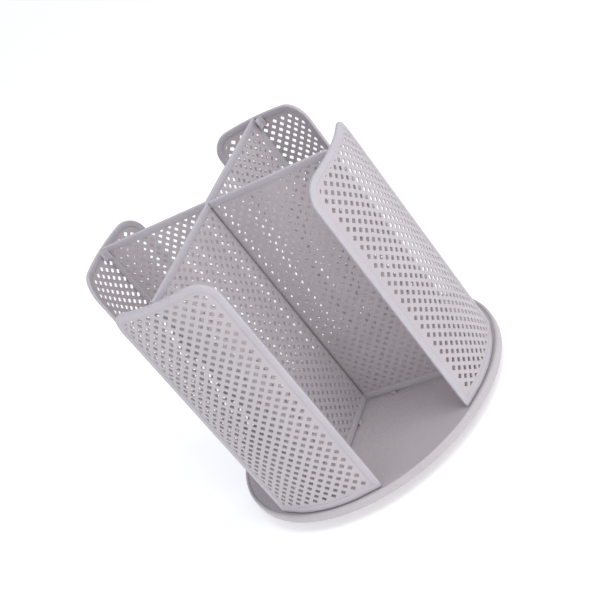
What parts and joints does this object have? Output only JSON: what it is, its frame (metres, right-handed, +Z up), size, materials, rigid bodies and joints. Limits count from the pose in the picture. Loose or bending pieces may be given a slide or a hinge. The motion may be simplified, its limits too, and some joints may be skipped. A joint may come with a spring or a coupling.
{
  "type": "desk organizer",
  "caption": "Swivel desk organizer: perforated dividers cross on a round tray between curved perforated panels, and the tray turns on a ball bearing foot.",
  "frame": {"origin": "on the turning axis, at the level of the rubber pads' undersides, where the organizer stands", "axes": "+Z up along the turning axis; +X and +Y along two of the divider wings, each of which ends at a curved panel"},
  "size_m": [0.195, 0.195, 0.1877],
  "materials": {
    "mesh_paint": "satin powder coat, pale lilac grey, very fine orange peel",
    "rim_paint": "satin powder coat, pale lilac grey",
    "tray_paint": "smooth satin powder coat, pale lilac grey",
    "foot_paint": "smooth satin powder coat, pale lilac grey",
    "zinc_plate": "bright zinc plate",
    "bearing_steel": "polished steel",
    "nylon": "moulded natural nylon",
    "rubber": "matte black rubber"
  },
  "bodies": {
    "foot": {"bearing_race_lower": "zinc_plate", "foot_pad_1": "rubber", "foot_pad_2": "rubber", "foot_pad_3": "rubber", "foot_pad_4": "rubber", "foot_plate": "foot_paint", "pivot_bush": "nylon", "race_rivet_1": "zinc_plate", "race_rivet_2": "zinc_plate", "race_rivet_3": "zinc_plate", "race_rivet_4": "zinc_plate"},
    "ball_cage": {"ball_cage": "nylon", "bearing_ball_1": "bearing_steel", "bearing_ball_10": "bearing_steel", "bearing_ball_11": "bearing_steel", "bearing_ball_12": "bearing_steel", "bearing_ball_2": "bearing_steel", "bearing_ball_3": "bearing_steel", "bearing_ball_4": "bearing_steel", "bearing_ball_5": "bearing_steel", "bearing_ball_6": "bearing_steel", "bearing_ball_7": "bearing_steel", "bearing_ball_8": "bearing_steel", "bearing_ball_9": "bearing_steel"},
    "carousel": {"bearing_race_upper": "zinc_plate", "divider_rim_front_left": "rim_paint", "divider_rim_rear_right": "rim_paint", "divider_sheet_front_left": "mesh_paint", "divider_sheet_rear_right": "mesh_paint", "floor_clip_front": "rim_paint", "floor_clip_left": "rim_paint", "floor_clip_rear": "rim_paint", "floor_clip_right": "rim_paint", "panel_rim_front": "rim_paint", "panel_rim_left": "rim_paint", "panel_rim_rear": "rim_paint", "panel_rim_right": "rim_paint", "panel_sheet_front": "mesh_paint", "panel_sheet_left": "mesh_paint", "panel_sheet_rear": "mesh_paint", "panel_sheet_right": "mesh_paint", "panel_tab_front": "rim_paint", "panel_tab_left": "rim_paint", "panel_tab_rear": "rim_paint", "panel_tab_right": "rim_paint", "pivot_lock_nut": "zinc_plate", "pivot_stud": "zinc_plate", "pivot_washer": "zinc_plate", "tray": "tray_paint"}
  },
  "joints": [
    {"name": "carousel_spin", "type": "hinge", "parent": "foot", "child": "carousel", "pos_m": [0, 0, 0.0137], "axis": [0, 0, 1], "continuous": true},
    {"name": "cage_spin", "type": "hinge", "parent": "foot", "child": "ball_cage", "pos_m": [0, 0, 0.008], "axis": [0, 0, 1], "continuous": true}
  ],
  "couplings": [
    {"joint": "cage_spin", "follows": "carousel_spin", "ratio": 0.5}
  ]
}
